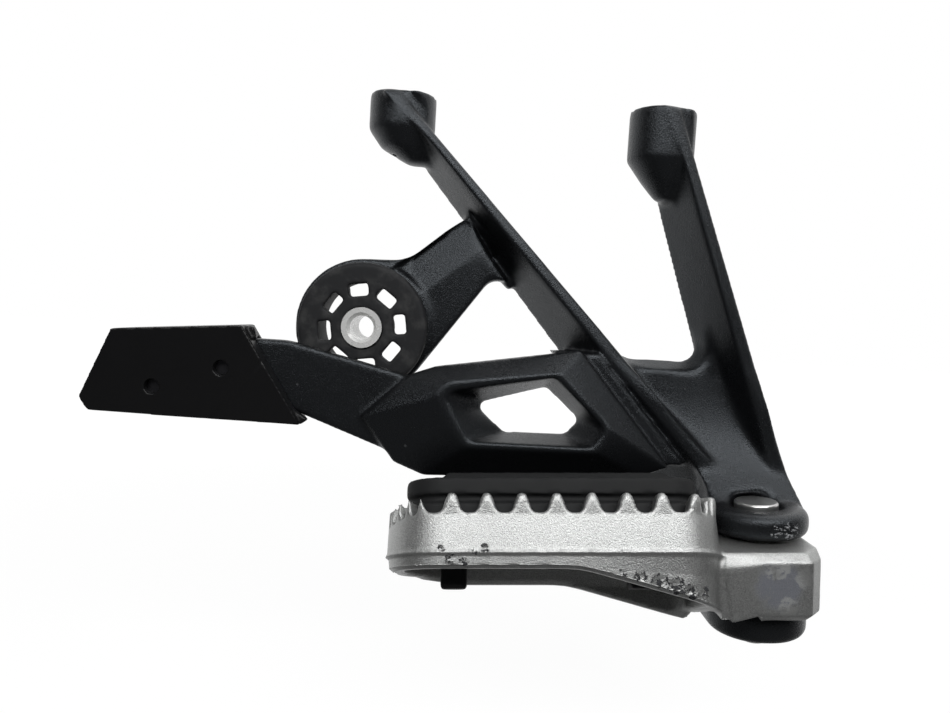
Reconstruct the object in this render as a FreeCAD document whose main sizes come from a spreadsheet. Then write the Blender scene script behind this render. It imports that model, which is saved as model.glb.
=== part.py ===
"""A motorbike footrest hanger with its folding footrest.

X runs along the machine towards its front, Y points inboard and Z up, along the
two bolt bosses. The origin is the middle of the two bosses on their seats.
"Out" below is a distance outboard, which is towards -Y.
"""
import FreeCAD, Part
import math
import os
import re
import Sketcher
from FreeCAD import Placement, Rotation, Vector

NODES = (
    "hanger", "damper_rubber", "damper_sleeve", "end_pad", "end_pad_screws", "pivot_pin",
    "pin_circlip", "upper_washer", "lower_washer", "footpeg", "footpeg_pad",
)

# Driving sizes in millimetres and degrees
SIZES = {
    # bolt bosses
    "boss_gap": 91.0, "boss_radius": 11.5,
    "bolt_hole_radius": 3.4, "bolt_hole_depth": 20.0,
    # the boss ends, each drawn in to a small round on the back of its strut
    "rear_boss_height": 12.0, "rear_waist_reach": 1.5, "rear_waist_drop": 18.0, "rear_waist_radius": 8.5,
    "rear_neck_reach": 6.5, "rear_neck_drop": 23.5, "rear_neck_radius": 3.5,
    "front_boss_height": 17.0, "front_waist_reach": 1.7, "front_waist_drop": 24.0, "front_waist_radius": 8.0,
    "front_neck_reach": 2.9, "front_neck_drop": 31.0, "front_neck_radius": 3.5,
    # struts: slope below the X axis, start of the outer edge, length, then the width of the
    # ridge and of the root at the boss, at the turn below it and at the end
    "strut_front": 12.0, "strut_back": 7.0, "rib_drop": 0.8,
    "rear_slope": 46.0, "rear_start_reach": 3.4, "rear_start_drop": 5.0, "rear_length": 168.0,
    "rear_turn": 16.0, "rear_ridge_top": 4.2, "rear_ridge_turn": 2.8, "rear_ridge_end": 5.0,
    "rear_root_turn": 9.3, "rear_root_end": 20.0,
    "front_slope": 69.2, "front_start_reach": 4.9, "front_start_drop": 5.0, "front_length": 126.0,
    "front_turn": 21.6, "front_ridge_top": 4.3, "front_ridge_turn": 3.9, "front_ridge_end": 4.64,
    "front_root_turn": 12.4, "front_root_end": 16.2,
    # pivot of the footrest, and the clevis round it
    "pivot_reach": 82.0, "pivot_out": 22.0, "pivot_drop": 150.9, "pin_lean": 3.5,
    "lug_radius": 16.0, "lug_flat": 1.2, "lug_gap": 22.6, "upper_lug": 8.6, "lower_lug": 10.2,
    "lug_round": 3.2,
    "wall_gap": 13.4, "wall_thick": 9.0,
    # knee between the struts and the upper lug
    "knee_top_drop": 89.6, "knee_mid_drop": 108.0, "knee_low_drop": 122.0, "knee_foot_drop": 133.0,
    "knee_top_out": 2.0, "knee_mid_out": 5.0, "knee_low_out": 12.0, "knee_lap": 8.0,
    # rounded crook between the struts
    "crook_drop": 74.3, "crook_floor_drop": 86.2, "crook_foot_drop": 99.0, "crook_back": 5.0,
    "crook_left_reach": 23.5, "crook_left_corner": 36.1, "crook_left_round": 20.0,
    "crook_right_reach": 62.5, "crook_right_corner": 65.8, "crook_right_round": 6.5, "crook_lap": 10.0,
    "crook_lean": 3.5,
    # heel guard
    "guard_front": 25.0, "guard_edge": 17.0, "guard_back": 12.5,
    "guard_tip_reach": 52.3, "guard_tip_drop": 110.7,
    "guard_shoulder_reach": 36.0, "guard_shoulder_drop": 95.2,
    "guard_brow_reach": 28.1, "guard_brow_drop": 92.2, "guard_root_reach": 20.0, "guard_root_drop": 84.0,
    "guard_heel_reach": 52.4, "guard_heel_drop": 121.7, "guard_sole_reach": 43.0, "guard_sole_drop": 125.4,
    "guard_toe_reach": 30.2, "guard_toe_drop": 129.4, "guard_chin_reach": 40.7, "guard_chin_drop": 125.4,
    "face_tip_reach": 27.1, "face_tip_drop": 101.5, "face_shoulder_reach": 25.7, "face_shoulder_drop": 98.8,
    "face_brow_reach": 22.6, "face_brow_drop": 96.1, "face_root_reach": 12.5, "face_root_drop": 91.4,
    "face_heel_reach": 30.7, "face_heel_drop": 108.8, "face_sole_reach": 26.4, "face_sole_drop": 116.6,
    "face_toe_reach": 16.4, "face_toe_drop": 117.2, "face_chin_reach": 22.4, "face_chin_drop": 110.4,
    # foot that joins the guard to the rear strut
    "foot_back": 2.0, "foot_width": 9.0, "foot_lap": 7.0, "foot_inset": 1.0,
    # funnel in the guard, from its rim down to the window
    "rim_nose_reach": 25.4, "rim_nose_drop": 99.6, "rim_crest_reach": 11.6, "rim_crest_drop": 92.6,
    "rim_side_reach": 29.4, "rim_side_drop": 109.2, "rim_heel_reach": 25.3, "rim_heel_drop": 115.3,
    "rim_base_reach": 16.5, "rim_base_drop": 115.6, "rim_round": 2.6,
    "window_nose_reach": 14.6, "window_nose_drop": 104.4,
    "window_crest_reach": 9.5, "window_crest_drop": 97.2,
    "window_side_reach": 21.2, "window_side_drop": 107.5,
    "window_heel_reach": 17.1, "window_heel_drop": 112.6,
    "window_base_reach": 3.8, "window_base_drop": 113.3, "window_round": 2.2, "window_floor": 13.5,
    # silencer ring, its arm and damper
    "ring_reach": 55.0, "ring_drop": 81.0, "ring_radius": 24.0, "ring_bore": 19.0,
    "ring_front": 4.0, "ring_back": 9.0, "arm_front": 3.0, "arm_back": 4.0,
    "web_head_reach": 21.0, "web_head_drop": 40.4, "web_root_reach": 9.0, "web_root_drop": 57.4,
    "web_notch_reach": 25.0, "web_notch_drop": 43.0, "web_notch_round": 4.0,
    "web_hollow_reach": 41.0, "web_hollow_drop": 56.5, "web_hollow_round": 14.0,
    "web_low_reach": 36.0, "web_low_drop": 96.0,
    "web_crotch_reach": 9.2, "web_crotch_drop": 58.5, "web_crotch_round": 5.7,
    "web_heel_reach": 3.4, "web_heel_drop": 64.6,
    "flange_radius": 22.6, "flange_thick": 4.0, "flange_round": 1.6, "fit_gap": 0.08,
    "sleeve_radius": 7.0, "sleeve_bore": 4.15, "sleeve_proud": 0.8, "sleeve_chamfer": 1.1,
    "slot_count": 8, "slot_inner": 10.9, "slot_outer": 15.2, "slot_width": 6.8, "slot_turn": 8.0,
    "slot_round": 0.8, "slot_web": 5.0, "relief_inner": 9.4, "relief_outer": 16.2,
    # rear arm and the pad on its end
    "blade_back": 9.6, "blade_thick": 5.6, "blade_round": 9.0,
    "blade_bend_reach": 79.0, "blade_bend_drop": 86.6, "blade_root_reach": 27.0, "blade_root_drop": 98.5,
    "blade_root_height": 29.4, "blade_low_reach": 74.0, "blade_low_drop": 110.9,
    "blade_neck_reach": 93.0, "blade_end_reach": 134.0, "blade_end_drop": 94.0, "blade_end_height": 16.0,
    "blade_rise": 3.0,
    "pad_front": 22.0, "pad_back": 7.4, "pad_left_reach": 134.9, "pad_top_drop": 85.7,
    "pad_right_reach": 92.2, "pad_crest_drop": 82.1, "pad_toe_reach": 72.1, "pad_toe_drop": 114.2,
    "pad_heel_reach": 141.8, "pad_heel_drop": 113.2, "pad_nose_reach": 145.0, "pad_nose_drop": 109.0,
    "pad_corner": 2.5, "pad_slot_gap": 0.15,
    # lips that stand out from the pad's edge, at its upper corner and at its toe
    "lip_out": 18.6, "lip_gap": 0.4, "lip_reach": 3.0, "lip_fall": 0.4, "lip_drop": 4.4, "lip_skew": 1.0,
    "hook_reach": 2.2, "hook_rise": 5.0, "hook_lift": 1.6,
    "screw_reach": 98.5, "screw_drop": 96.6, "screw_pitch": 22.4, "screw_fall": 7.4,
    "screw_head_radius": 2.3, "screw_head": 1.8, "screw_sink": 2.4, "screw_radius": 1.5,
    "screw_gap": 0.12,
    # pin, clip and washers
    "pin_radius": 5.0, "pin_head_radius": 7.0, "pin_head": 3.4, "pin_sunk": 2.2, "counterbore_gap": 1.1,
    "pin_gap": 0.05, "pin_tail": 4.2, "pin_bevel": 0.8, "washer_gap": 0.2,
    "clip_thick": 1.2, "clip_depth": 0.8, "clip_radius": 7.6,
    "clip_seat": 0.1, "clip_mouth": 5.0, "washer_thick": 0.6, "washer_radius": 9.5, "hub_play": 0.15,
    # footrest: the hub on the pin, then the toothed ring, rolled about its length
    "hub_front": 24.0, "hub_end": 13.0, "hub_left": 27.0, "hub_chamfer": 2.4, "hub_corner": 4.5,
    "tread_roll": 24.0, "tread_near": 32.0, "tread_far": 15.0, "tread_tip": 121.0, "tread_hub": 17.0,
    "tip_round": 18.0, "hub_round": 11.0, "heel_round": 15.5, "wall": 5.2,
    "tooth_top": 17.4, "tooth_height": 5.4,
    "parting": 0.5, "ledge": 0.5, "skirt": 17.0, "skirt_draft": 7.0, "wall_draft": 1.5,
    "arch_level": 4.0, "arch_start": 62.0, "arch_fall": 12.0, "arch_round": 60.0,
    "floor_top": 7.0, "floor_thick": 4.0,
    "tooth_pitch": 10.57, "tooth_count": 8, "first_gap": 105.5, "gap_mouth": 7.6, "gap_root": 4.4,
    "gap_round": 2.1, "small_gap_mouth": 3.4, "small_gap_root": 1.8, "small_gap_round": 0.85,
    "tip_gap_start": 30.0, "heel_gap_start": 36.0, "corner_step": 15.0,
    "tip_corner_gaps": 4, "heel_corner_gaps": 2, "through": 130.0,
    # rubber pad in the ring
    "rubber_gap": 0.5, "rubber_waist": 2.0, "rubber_neck": 15.9, "rubber_brow": 18.4,
    "rubber_top": 23.8, "rubber_crown": 26.2, "crown_tip_inset": 17.0, "crown_hub_inset": 13.5,
    "crown_slope": 3.0, "crown_draft": 40.0,
    "plug_near": 100.0, "plug_far": 40.0, "plug_length": 8.4, "plug_width": 9.0, "plug_end": 8.8,
}

# How closely an edge must lie to a level to count as on it, and a clear distance from one
MATCH = 0.01
CLEAR = 1.0

NAME = re.compile(r"\b[a-z][a-z0-9_]*\b(?!\()")

doc = FreeCAD.newDocument("FootrestHanger")
sheet = doc.addObject("Spreadsheet::Sheet", "Sizes")
for row, (alias, size) in enumerate(SIZES.items(), start=1):
    sheet.set("A%d" % row, alias)
    sheet.set("B%d" % row, str(size))
    sheet.setAlias("B%d" % row, alias)
doc.recompute()


def bound(text):
    """A size formula with each name pointing at its cell in the sheet."""
    return NAME.sub(lambda word: "Sizes." + word.group(0), text)


def number(text):
    """The present value of a size formula."""
    return float(sheet.evalExpression(bound(text)))


def bind(thing, path, text):
    thing.setExpression(path, bound(text))


def new_body(name):
    body = doc.addObject("PartDesign::Body", name)
    body.Label = name
    return body


def attach(sketch, body, plane, spot=("0", "0", "0"), axis=None, turn="0"):
    """Seat a sketch on an origin plane, shifted and turned by formulas."""
    support = [item for item in body.Origin.OriginFeatures if item.Role == plane][0]
    sketch.AttachmentSupport = [(support, "")]
    sketch.MapMode = "FlatFace"
    rotation = Rotation(axis, number(turn)) if axis else Rotation()
    sketch.AttachmentOffset = Placement(Vector(*[number(text) for text in spot]), rotation)
    for letter, text in zip("xyz", spot):
        bind(sketch, "AttachmentOffset.Base." + letter, text)
    if axis:
        bind(sketch, "AttachmentOffset.Rotation.Angle", turn)


def pin_point(sketch, geometry, corner, across, up):
    """Hold one point of a sketch at two formulas."""
    for kind, text in (("DistanceX", across), ("DistanceY", up)):
        index = sketch.addConstraint(
            Sketcher.Constraint(kind, -1, 1, geometry, corner, number(text)))
        bind(sketch, "Constraints[%d]" % index, text)


def draw_outline(sketch, corners):
    """Closed outline of corners (across, up) or (across, up, radius), all formulas."""
    points = [Vector(number(corner[0]), number(corner[1]), 0) for corner in corners]
    total = len(points)
    arrive, leave, arcs = [], [], []
    for index, point in enumerate(points):
        radius = number(corners[index][2]) if len(corners[index]) > 2 else 0.0
        back = (points[index - 1] - point).normalize()
        ahead = (points[(index + 1) % total] - point).normalize()
        if radius:
            half = back.getAngle(ahead) / 2
            run = radius / math.tan(half)
            middle = point + (back + ahead).normalize() * (radius / math.sin(half))
            arcs.append((middle, radius))
        else:
            run = 0.0
            arcs.append(None)
        arrive.append(point + back * run)
        leave.append(point + ahead * run)
    lines = [sketch.addGeometry(Part.LineSegment(leave[index], arrive[(index + 1) % total]), False)
             for index in range(total)]
    for index, corner in enumerate(corners):
        before, after = lines[index - 1], lines[index]
        if arcs[index] is None:
            sketch.addConstraint(Sketcher.Constraint("Coincident", before, 2, after, 1))
            pin_point(sketch, after, 1, corner[0], corner[1])
            continue
        middle, radius = arcs[index]
        first = math.atan2(arrive[index].y - middle.y, arrive[index].x - middle.x)
        last = math.atan2(leave[index].y - middle.y, leave[index].x - middle.x)
        left_turn = (last - first) % (2 * math.pi) < math.pi
        start, end = (first, last) if left_turn else (last, first)
        circle = Part.Circle(middle, Vector(0, 0, 1), radius)
        arc = sketch.addGeometry(Part.ArcOfCircle(circle, start, end), False)
        sketch.addConstraint(Sketcher.Constraint("Tangent", before, 2, arc, 1 if left_turn else 2))
        sketch.addConstraint(Sketcher.Constraint("Tangent", after, 1, arc, 2 if left_turn else 1))
        held = sketch.addConstraint(Sketcher.Constraint("Radius", arc, radius))
        bind(sketch, "Constraints[%d]" % held, corner[2])
        mark = sketch.addGeometry(Part.Point(points[index]), True)
        sketch.addConstraint(Sketcher.Constraint("PointOnObject", mark, 1, before))
        sketch.addConstraint(Sketcher.Constraint("PointOnObject", mark, 1, after))
        pin_point(sketch, mark, 1, corner[0], corner[1])


def draw_circle(sketch, across, up, radius):
    centre = Vector(number(across), number(up), 0)
    circle = sketch.addGeometry(Part.Circle(centre, Vector(0, 0, 1), number(radius)), False)
    pin_point(sketch, circle, 3, across, up)
    held = sketch.addConstraint(Sketcher.Constraint("Radius", circle, number(radius)))
    bind(sketch, "Constraints[%d]" % held, radius)


def outline(body, name, plane, corners, **seat):
    sketch = body.newObject("Sketcher::SketchObject", name + "_outline")
    attach(sketch, body, plane, **seat)
    draw_outline(sketch, corners)
    return sketch


def circles(body, name, plane, rounds, **seat):
    sketch = body.newObject("Sketcher::SketchObject", name + "_circles")
    attach(sketch, body, plane, **seat)
    for across, up, radius in rounds:
        draw_circle(sketch, across, up, radius)
    return sketch


def pad(body, name, sketch, length, reverse=False, taper=None):
    feature = body.newObject("PartDesign::Pad", name)
    feature.Profile = sketch
    feature.Reversed = reverse
    bind(feature, "Length", length)
    if taper:
        bind(feature, "TaperAngle", taper)
    doc.recompute()
    return feature


def pocket(body, name, sketch, length, reverse=False, both=False):
    """Cut a sketch into the body, and make sure that it takes material away."""
    before = body.Shape.Volume
    feature = body.newObject("PartDesign::Pocket", name)
    feature.Profile = sketch
    feature.Reversed = reverse
    if both:
        feature.SideType = "Symmetric"
    bind(feature, "Length", length)
    doc.recompute()
    if body.Shape.Volume >= before:
        raise RuntimeError(name + " cuts nothing")
    return feature


def loft(body, kind, name, first, others, ruled=True):
    feature = body.newObject("PartDesign::" + kind, name)
    feature.Profile = first
    feature.Sections = others
    feature.Ruled = ruled
    doc.recompute()
    return feature


def soften(body, name, wanted, radius, kind="Fillet"):
    """Round or chamfer those edges of the body that the test function accepts."""
    base = body.Tip
    edges = ["Edge%d" % (index + 1) for index, edge in enumerate(base.Shape.Edges) if wanted(edge)]
    if not edges:
        raise RuntimeError(name + " finds no edge")
    feature = body.newObject("PartDesign::" + kind, name)
    feature.Base = (base, edges)
    bind(feature, "Radius" if kind == "Fillet" else "Size", radius)
    doc.recompute()
    return feature


# Places on the pin's axis, which leans rearwards in the XZ plane
ACROSS = Vector(0, 1, 0)
OUTWARD = Vector(0, 0, 1)
ALONG = Vector(1, 0, 0)


def on_pin(height):
    """Seat of a sketch square to the pin, a formula's height above the hub's middle."""
    reach = "pivot_reach - (%s) * sin(pin_lean)" % height
    level = "(%s) * cos(pin_lean) - pivot_drop" % height
    return {"spot": (reach, "0", level), "axis": ACROSS, "turn": "-pin_lean"}


def rear_edge(drop):
    """X of the rear strut's front edge at a depth below the boss seats."""
    return "rear_start_reach - boss_gap / 2 + (%s - rear_start_drop) / tan(rear_slope)" % drop


def front_edge(drop):
    """X of the front strut's front edge at a depth below the boss seats."""
    return "boss_gap / 2 + front_start_reach + (%s - front_start_drop) / tan(front_slope)" % drop


def box_corners(left, right, low, high):
    return [(left, low), (right, low), (right, high), (left, high)]


def add_clevis(body):
    """Two rounded lugs with the wall behind the hub."""
    back = "wall_gap + wall_thick - pivot_out"
    nose = "-pivot_out - lug_radius"
    nose_round = "lug_radius - lug_flat / 2"
    lug = [("-lug_radius", back), ("lug_radius", back),
           ("lug_radius", nose, nose_round), ("-lug_radius", nose, nose_round)]
    axis = Rotation(ACROSS, -number("pin_lean")).multVec(OUTWARD)
    back_line = number(back) - CLEAR

    def rim(edge):
        ends = edge.Vertexes[0].Point - edge.Vertexes[-1].Point
        return abs(ends.dot(axis)) < MATCH and edge.CenterOfMass.y < back_line

    upper = outline(body, "upper_lug", "XY_Plane", lug, **on_pin("lug_gap / 2"))
    pad(body, "upper_lug", upper, "upper_lug")
    soften(body, "upper_lug_round", rim, "lug_round")
    lower = outline(body, "lower_lug", "XY_Plane", lug, **on_pin("-lug_gap / 2"))
    pad(body, "lower_lug", lower, "lower_lug", reverse=True)
    level = number("-lug_gap / 2")
    middle = Vector(number("pivot_reach"), 0, -number("pivot_drop"))
    soften(body, "lower_lug_round",
           lambda edge: rim(edge) and (edge.CenterOfMass - middle).dot(axis) < level + CLEAR, "lug_round")
    wall = box_corners("-lug_radius", "lug_radius", "wall_gap - pivot_out", back)
    sketch = outline(body, "clevis_wall", "XY_Plane", wall, **on_pin("-lug_gap / 2 - lower_lug"))
    pad(body, "clevis_wall", sketch, "lug_gap + lower_lug + upper_lug")


def add_knee(body):
    """Web below the struts that sweeps out on to the upper lug."""
    back = "wall_gap + wall_thick - pivot_out"
    levels = [
        (rear_edge("knee_top_drop") + " - knee_lap", front_edge("knee_top_drop") + " - front_ridge_end",
         "knee_top_out", back, "knee_top_drop"),
        (rear_edge("knee_mid_drop") + " - knee_lap", front_edge("knee_mid_drop"),
         "knee_mid_out", back, "knee_mid_drop"),
        (rear_edge("knee_low_drop") + " - knee_lap", front_edge("knee_low_drop"),
         "knee_low_out", back, "knee_low_drop"),
        ("pivot_reach - lug_radius", "pivot_reach + lug_radius", "pivot_out", back, "knee_foot_drop"),
    ]
    rings = []
    for index, (left, right, out, inboard, drop) in enumerate(levels):
        corners = box_corners(left, right, "-(%s)" % out, inboard)
        rings.append(outline(body, "knee_%d" % index, "XY_Plane", corners, spot=("0", "0", "-" + drop)))
    loft(body, "AdditiveLoft", "knee", rings[0], rings[1:], ruled=False)


def add_crook(body):
    """Rounded bottom of the opening between the struts, leaning as the front strut's flank does."""
    layers = []
    for name, out, lean in (("back", "-crook_back", "0"), ("front", "knee_top_out", "crook_lean")):
        floor = "-crook_floor_drop - " + lean
        corners = [
            ("crook_left_reach", "-crook_drop"),
            ("crook_left_corner + " + lean, floor, "crook_left_round"),
            ("crook_right_corner + " + lean, floor, "crook_right_round"),
            ("crook_right_reach + " + lean, "-crook_drop"),
            ("crook_right_reach + crook_lap", "-crook_drop"),
            ("crook_right_corner + crook_lap", "-crook_foot_drop"),
            ("crook_left_corner", "-crook_foot_drop"),
            ("crook_left_reach - crook_lap", "-crook_drop"),
        ]
        layers.append(outline(body, "crook_" + name, "XZ_Plane", corners, **at_out(out)))
    loft(body, "AdditiveLoft", "crook", layers[0], layers[1:])


def add_strut(body, name, reach):
    """Strut with a narrow outer ridge that runs up over its boss, and a broad root."""
    slope = name + "_slope"
    seats = [{"spot": (reach, "-%s_start_drop" % name, out), "axis": OUTWARD, "turn": "-" + slope}
             for out in ("-strut_back", "strut_front")]

    def head(width):
        level = "(rib_drop - %s_start_drop - (%s) * cos(%s)) / sin(%s)" % (name, width, slope, slope)
        return (level, "-(%s)" % width)

    layers = []
    for layer, seat in zip(("root", "ridge"), seats):
        corners = [head("0"), (name + "_length", "0"), (name + "_length", "-%s_%s_end" % (name, layer)),
                   (name + "_turn", "-%s_%s_turn" % (name, layer)), head(name + "_ridge_top")]
        layers.append(outline(body, "%s_%s" % (name, layer), "XZ_Plane", corners, **seat))
    loft(body, "AdditiveLoft", name + "_strut", layers[0], layers[1:])


def add_bosses(body):
    """The two bolt bosses, whose lower ends draw in to the struts."""
    for name, side in (("rear", "-"), ("front", "")):
        reach = side + "boss_gap / 2"
        top = circles(body, name + "_boss", "XY_Plane", [(reach, "0", "boss_radius")])
        pad(body, name + "_boss", top, name + "_boss_height", reverse=True)
        rings = [circles(body, name + "_boss_end", "XY_Plane", [(reach, "0", "boss_radius")],
                         spot=("0", "0", "-%s_boss_height" % name))]
        for stage in ("waist", "neck"):
            key = "%s_%s" % (name, stage)
            place = ("%s + %s_reach" % (reach, key), "0", key + "_radius")
            rings.append(circles(body, key, "XY_Plane", [place], spot=("0", "0", "-%s_drop" % key)))
        loft(body, "AdditiveLoft", name + "_boss_neck", rings[0], rings[1:])


def at_out(out):
    return {"spot": ("0", "0", out)}


def add_guard(body):
    """Heel guard: a foot on the rear strut, a flange and a faceted shell on it."""
    names = ("tip", "shoulder", "brow", "root", "heel", "sole", "toe", "chin")
    sides = ("-", "-", "-", "", "", "", "-", "-")
    foot = [("guard_root_reach - foot_width", "-guard_root_drop - foot_inset"),
            ("guard_root_reach + foot_lap", "-guard_root_drop - foot_inset"),
            ("guard_heel_reach + foot_lap", "-guard_heel_drop"),
            ("guard_heel_reach - foot_width", "-guard_heel_drop - foot_inset")]
    sketch = outline(body, "guard_foot", "XZ_Plane", foot, **at_out("-foot_back"))
    pad(body, "guard_foot", sketch, "guard_back + foot_back")
    layers = []
    for prefix, out in (("guard_", "guard_edge"), ("face_", "guard_front")):
        corners = [(side + prefix + name + "_reach", "-" + prefix + name + "_drop")
                   for name, side in zip(names, sides)]
        if not layers:
            flange = outline(body, "guard_flange", "XZ_Plane", corners, **at_out("guard_back"))
            pad(body, "guard_flange", flange, "guard_edge - guard_back")
        layers.append(outline(body, prefix + "guard", "XZ_Plane", corners, **at_out(out)))
    loft(body, "AdditiveLoft", "heel_guard", layers[0], layers[1:])


def cut_window(body):
    names = ("nose", "crest", "side", "heel", "base")
    sides = ("-", "", "", "", "-")
    layers = []
    for prefix, out in (("rim_", "guard_front"), ("window_", "window_floor")):
        corners = [(side + prefix + name + "_reach", "-" + prefix + name + "_drop", prefix + "round")
                   for name, side in zip(names, sides)]
        layers.append(outline(body, prefix + "cut", "XZ_Plane", corners, **at_out(out)))
        through = corners
    loft(body, "SubtractiveLoft", "window_funnel", layers[0], layers[1:])
    hole = outline(body, "window_hole", "XZ_Plane", through, **at_out("window_floor"))
    pocket(body, "window_hole", hole, "window_floor + strut_back")


def add_silencer_arm(body):
    """Flat web from the rear strut to the damper ring, and the ring itself."""
    web = [("-web_head_reach", "-web_head_drop"),
           ("-web_notch_reach", "-web_notch_drop", "web_notch_round"),
           ("-web_hollow_reach", "-web_hollow_drop", "web_hollow_round"),
           ("-ring_reach", "ring_radius - ring_drop"),
           ("-ring_reach", "-ring_drop"),
           ("-web_low_reach", "-web_low_drop"),
           ("-web_crotch_reach", "-web_crotch_drop", "web_crotch_round"),
           ("-web_heel_reach", "-web_heel_drop"),
           ("-web_root_reach", "-web_root_drop")]
    sketch = outline(body, "silencer_arm", "XZ_Plane", web, **at_out("-arm_back"))
    pad(body, "silencer_arm", sketch, "arm_back + arm_front")
    centre = [("-ring_reach", "-ring_drop", "ring_radius")]
    ring = circles(body, "ring", "XZ_Plane", centre, **at_out("-ring_back"))
    pad(body, "ring", ring, "ring_back + ring_front")
    bore = circles(body, "ring_bore", "XZ_Plane", [("-ring_reach", "-ring_drop", "ring_bore")],
                   **at_out("ring_front"))
    pocket(body, "ring_bore", bore, "ring_back + ring_front")


def blade_corners(gap):
    """Outline of the rear arm, grown by a clearance formula."""
    return [
        ("-blade_end_reach - (%s)" % gap, "%s - blade_end_drop" % gap),
        ("-blade_neck_reach - (%s)" % gap, "%s - blade_end_drop + blade_rise" % gap),
        ("-blade_neck_reach - (%s)" % gap, "%s - blade_bend_drop" % gap),
        ("-blade_bend_reach", "%s - blade_bend_drop" % gap, "blade_round"),
        ("-blade_root_reach", "%s - blade_root_drop" % gap),
        ("-blade_root_reach", "-blade_root_drop - blade_root_height - (%s)" % gap),
        ("-blade_low_reach", "-blade_low_drop - (%s)" % gap, "blade_round"),
        ("-blade_neck_reach - (%s)" % gap, "-blade_end_drop - blade_end_height + blade_rise - (%s)" % gap),
        ("-blade_end_reach - (%s)" % gap, "-blade_end_drop - blade_end_height - (%s)" % gap),
    ]


def screw_places(radius):
    return [("-screw_reach", "-screw_drop", radius),
            ("-screw_reach - screw_pitch", "-screw_drop - screw_fall", radius)]


def add_rear_arm(body):
    blade = outline(body, "rear_arm", "XZ_Plane", blade_corners("0"), **at_out("blade_back"))
    pad(body, "rear_arm", blade, "blade_thick")
    holes = circles(body, "rear_arm_holes", "XZ_Plane", screw_places("screw_radius + screw_gap"),
                    **at_out("blade_back + blade_thick"))
    pocket(body, "rear_arm_holes", holes, "blade_thick")


def make_hanger():
    """One casting: bosses, struts, knee, clevis, heel guard, silencer arm and rear arm."""
    body = new_body("hanger")
    add_clevis(body)
    add_knee(body)
    add_strut(body, "rear", "rear_start_reach - boss_gap / 2")
    add_strut(body, "front", "boss_gap / 2 + front_start_reach")
    add_crook(body)
    add_bosses(body)
    add_guard(body)
    add_silencer_arm(body)
    add_rear_arm(body)
    cut_window(body)
    holes = circles(body, "bolt_holes", "XY_Plane",
                    [("-boss_gap / 2", "0", "bolt_hole_radius"), ("boss_gap / 2", "0", "bolt_hole_radius")])
    pocket(body, "bolt_holes", holes, "bolt_hole_depth")
    bore = circles(body, "pin_bore", "XY_Plane", [("0", "-pivot_out", "pin_radius + pin_gap")],
                   **on_pin("lug_gap / 2 + upper_lug"))
    pocket(body, "pin_bore", bore, "lug_gap + upper_lug + lower_lug")
    sink = circles(body, "counterbore", "XY_Plane",
                   [("0", "-pivot_out", "pin_head_radius + counterbore_gap")],
                   **on_pin("lug_gap / 2 + upper_lug + pin_sunk"))
    pocket(body, "counterbore", sink, "2 * pin_sunk")
    return body


def place(body, spot, axis, turn):
    """Put a finished body where it belongs, by formulas."""
    body.Placement = Placement(Vector(*[number(text) for text in spot]), Rotation(axis, number(turn)))
    for letter, text in zip("xyz", spot):
        bind(body, "Placement.Base." + letter, text)
    bind(body, "Placement.Rotation.Angle", turn)


def place_on_pin(body):
    place(body, ("pivot_reach", "-pivot_out", "-pivot_drop"), ACROSS, "-pin_lean")


def place_in_ring(body):
    place(body, ("-ring_reach", "0", "-ring_drop"), ALONG, "90")


def turned(body, name, profile):
    """Revolve a profile of (radius, height) corners about the body's Z axis."""
    sketch = outline(body, name, "XZ_Plane", profile)
    feature = body.newObject("PartDesign::Revolution", name)
    feature.Profile = sketch
    feature.ReferenceAxis = (sketch, ["V_Axis"])
    feature.Angle = 360
    doc.recompute()
    return feature


def make_damper_rubber():
    """Spool-shaped rubber in the ring, with slots right through it."""
    body = new_body("damper_rubber")
    hole = "sleeve_radius + fit_gap"
    waist = "ring_bore - fit_gap"
    back = "-ring_back - flange_thick"
    front = "ring_front + flange_thick"
    turned(body, "spool", [
        (hole, back), ("flange_radius", back, "flange_round"), ("flange_radius", "-ring_back"),
        (waist, "-ring_back"), (waist, "ring_front"), ("flange_radius", "ring_front"),
        ("flange_radius", front, "flange_round"), (hole, front)])
    relief = circles(body, "relief", "XY_Plane", [("0", "0", "relief_outer"), ("0", "0", "relief_inner")],
                     spot=("0", "0", back))
    pocket(body, "relief", relief, "ring_back + ring_front + 2 * flange_thick - slot_web", reverse=True)
    corners = [corner + ("slot_round",) for corner in
               box_corners("slot_inner", "slot_outer", "-slot_width / 2", "slot_width / 2")]
    sketch = outline(body, "slot", "XY_Plane", corners,
                     spot=("0", "0", front), axis=OUTWARD, turn="slot_turn")
    slot = pocket(body, "slot", sketch, "ring_front + ring_back + 2 * flange_thick")
    pattern = body.newObject("PartDesign::PolarPattern", "slots")
    pattern.Originals = [slot]
    pattern.Axis = (sketch, ["N_Axis"])
    pattern.Angle = 360
    bind(pattern, "Occurrences", "slot_count")
    body.Tip = pattern
    place_in_ring(body)


def make_damper_sleeve():
    body = new_body("damper_sleeve")
    back = "-ring_back - flange_thick - sleeve_proud"
    front = "ring_front + flange_thick + sleeve_proud"
    turned(body, "sleeve", [
        ("sleeve_bore + sleeve_chamfer", back), ("sleeve_radius", back), ("sleeve_radius", front),
        ("sleeve_bore + sleeve_chamfer", front), ("sleeve_bore", front + " - sleeve_chamfer"),
        ("sleeve_bore", back + " + sleeve_chamfer")])
    place_in_ring(body)


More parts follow.
